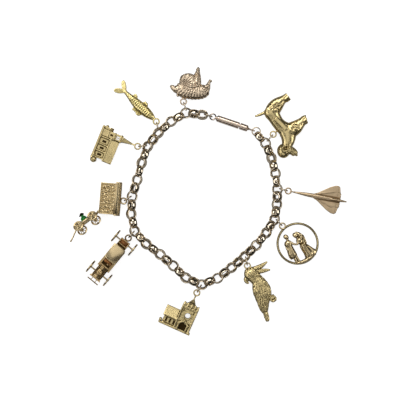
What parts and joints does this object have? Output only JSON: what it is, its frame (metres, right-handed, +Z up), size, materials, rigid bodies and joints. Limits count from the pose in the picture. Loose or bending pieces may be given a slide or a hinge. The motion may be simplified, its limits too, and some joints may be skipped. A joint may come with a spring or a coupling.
{
  "type": "charm bracelet",
  "caption": "Closed belcher-chain bracelet with a barrel clasp and cast novelty charms on jump rings, lying flat.",
  "frame": {"origin": "middle of the bounding box, on the surface that the bracelet lies on", "axes": "+Z up from the surface; seen from above as in the picture, +X is right and +Y is towards the clasp"},
  "size_m": [0.1048, 0.1008, 0.0079],
  "materials": {
    "rose_gold_chain": "polished",
    "rose_gold_clasp": "polished",
    "olive_gold": "cast and polished",
    "brushed_rose_gold": "cast and polished",
    "pale_rose_gold": "cast and polished",
    "pale_gold": "cast and polished",
    "green_enamel": "glossy enamel",
    "dark_enamel": "glossy enamel"
  },
  "bodies": {
    "bracelet": {"belcher_chain": "rose_gold_chain", "jump_ring_clasp_sleeve": "rose_gold_chain", "jump_ring_clasp_plug": "rose_gold_chain", "clasp_sleeve": "rose_gold_clasp", "clasp_plug": "rose_gold_clasp", "jump_ring_terrier": "rose_gold_chain", "terrier": "olive_gold", "jump_ring_jet": "rose_gold_chain", "jet": "brushed_rose_gold", "jump_ring_wedding_couple": "rose_gold_chain", "wedding_couple": "pale_gold", "jump_ring_cockatoo": "rose_gold_chain", "cockatoo": "olive_gold", "jump_ring_short_spire_church": "rose_gold_chain", "short_spire_church": "olive_gold", "jump_ring_car": "rose_gold_chain", "car": "pale_gold", "jump_ring_caravan": "rose_gold_chain", "caravan": "pale_gold", "caravan_driver": "green_enamel", "caravan_driver_cap": "dark_enamel", "jump_ring_tall_spire_church": "rose_gold_chain", "tall_spire_church": "olive_gold", "jump_ring_fish": "rose_gold_chain", "fish": "olive_gold", "jump_ring_lion_dog": "rose_gold_chain", "lion_dog": "pale_rose_gold"},
    "car_front_wheels_body": {"car_front_wheels": "pale_gold"},
    "car_rear_wheels_body": {"car_rear_wheels": "pale_gold"},
    "caravan_front_wheels_body": {"caravan_front_wheels": "pale_gold"},
    "caravan_rear_wheels_body": {"caravan_rear_wheels": "pale_gold"}
  },
  "joints": [
    {"name": "car_front_wheels_spin", "type": "hinge", "parent": "bracelet", "child": "car_front_wheels_body", "pos_m": [-0.04154, -0.02673, 0.00275], "axis": [0.7705, -0.6374, 0], "continuous": true},
    {"name": "car_rear_wheels_spin", "type": "hinge", "parent": "bracelet", "child": "car_rear_wheels_body", "pos_m": [-0.03203, -0.01524, 0.00275], "axis": [0.7705, -0.6374, 0], "continuous": true},
    {"name": "caravan_front_wheels_spin", "type": "hinge", "parent": "bracelet", "child": "caravan_front_wheels_body", "pos_m": [-0.04861, -0.00964, 0.00342], "axis": [-0.2939, 0.4045, 0.866], "continuous": true},
    {"name": "caravan_rear_wheels_spin", "type": "hinge", "parent": "bracelet", "child": "caravan_rear_wheels_body", "pos_m": [-0.04344, -0.00588, 0.00342], "axis": [-0.2939, 0.4045, 0.866], "continuous": true}
  ]
}
